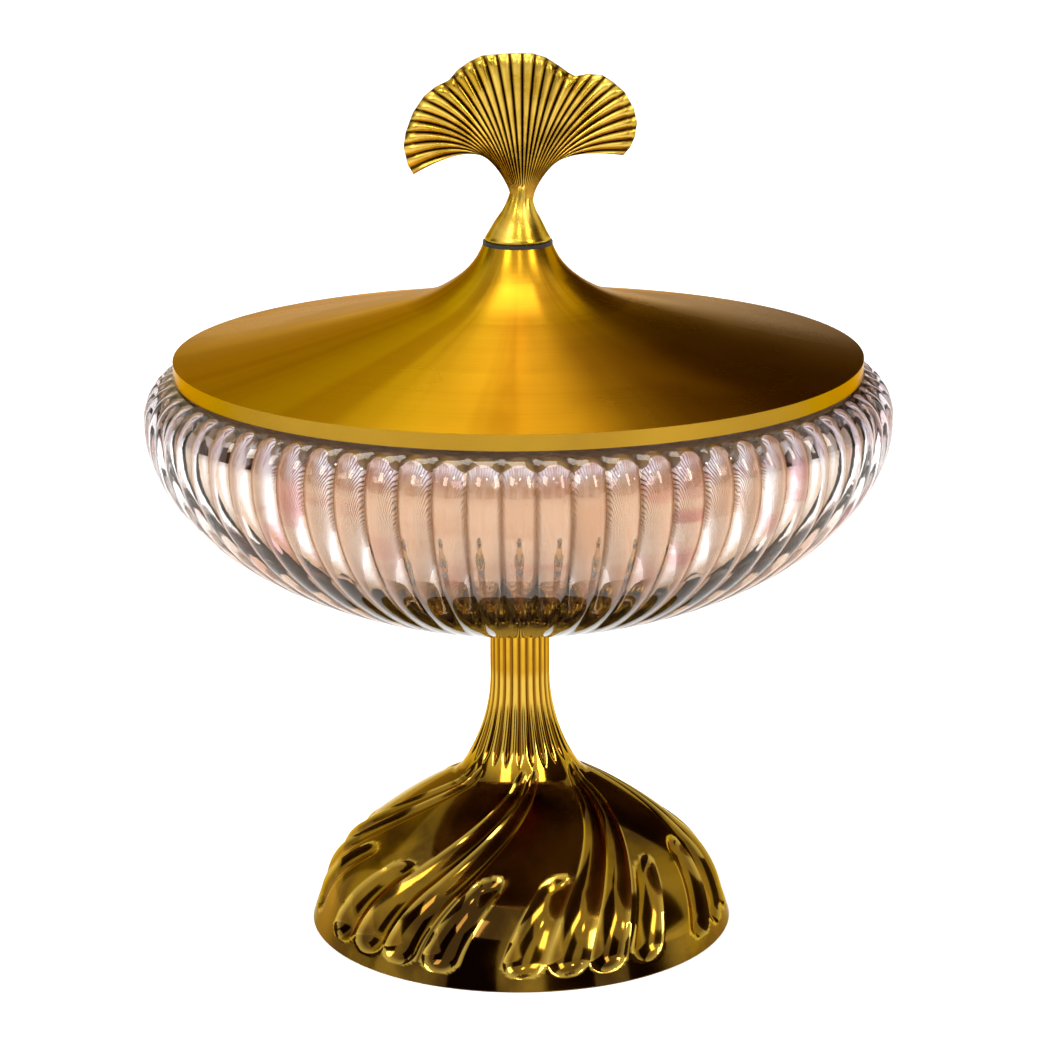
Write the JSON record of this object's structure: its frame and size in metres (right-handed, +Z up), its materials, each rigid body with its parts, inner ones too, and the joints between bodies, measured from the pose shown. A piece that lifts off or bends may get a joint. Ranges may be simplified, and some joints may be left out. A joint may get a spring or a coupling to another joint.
{
  "type": "footed candy jar with lid",
  "caption": "Ribbed clear glass bowl on a gold-tone footed pedestal with swirling flutes, closed by a loose trumpet-shaped metal lid with a ginkgo-leaf knob.",
  "frame": {"origin": "centre of the foot's underside on the axis of the jar", "axes": "+Z up along the axis of the jar; the front of the leaf knob faces -Y"},
  "size_m": [0.222, 0.222, 0.2664],
  "materials": {
    "pedestal_gold": "polished gold-tone plating",
    "lid_gold": "circularly brushed and lacquered",
    "ring_gold": "satin",
    "knob_brass": "cast and polished",
    "fastener_brass": "polished",
    "fastener_steel": "zinc plated",
    "bowl_glass": "clear pressed glass",
    "gasket_silicone": "translucent soft silicone",
    "washer_black": "matt",
    "pad_felt": "felt"
  },
  "bodies": {
    "jar": {"pedestal": "pedestal_gold", "foot_pad": "pad_felt", "glass_bowl": "bowl_glass", "stem_gasket": "gasket_silicone", "floor_gasket": "gasket_silicone", "bowl_cap_nut": "fastener_brass", "tie_rod": "fastener_steel", "foot_washer": "fastener_steel", "foot_nut": "fastener_steel"},
    "lid": {"lid_shell": "lid_gold", "locating_ring": "ring_gold", "lid_seal": "gasket_silicone", "knob_washer": "washer_black", "lock_washer": "fastener_steel", "knob_screw": "fastener_steel", "ginkgo_knob": "knob_brass"}
  },
  "joints": [
    {"name": "lid_lift", "type": "slide", "parent": "jar", "child": "lid", "axis": [0, 0, 1], "range_m": [0, 0.12]}
  ]
}
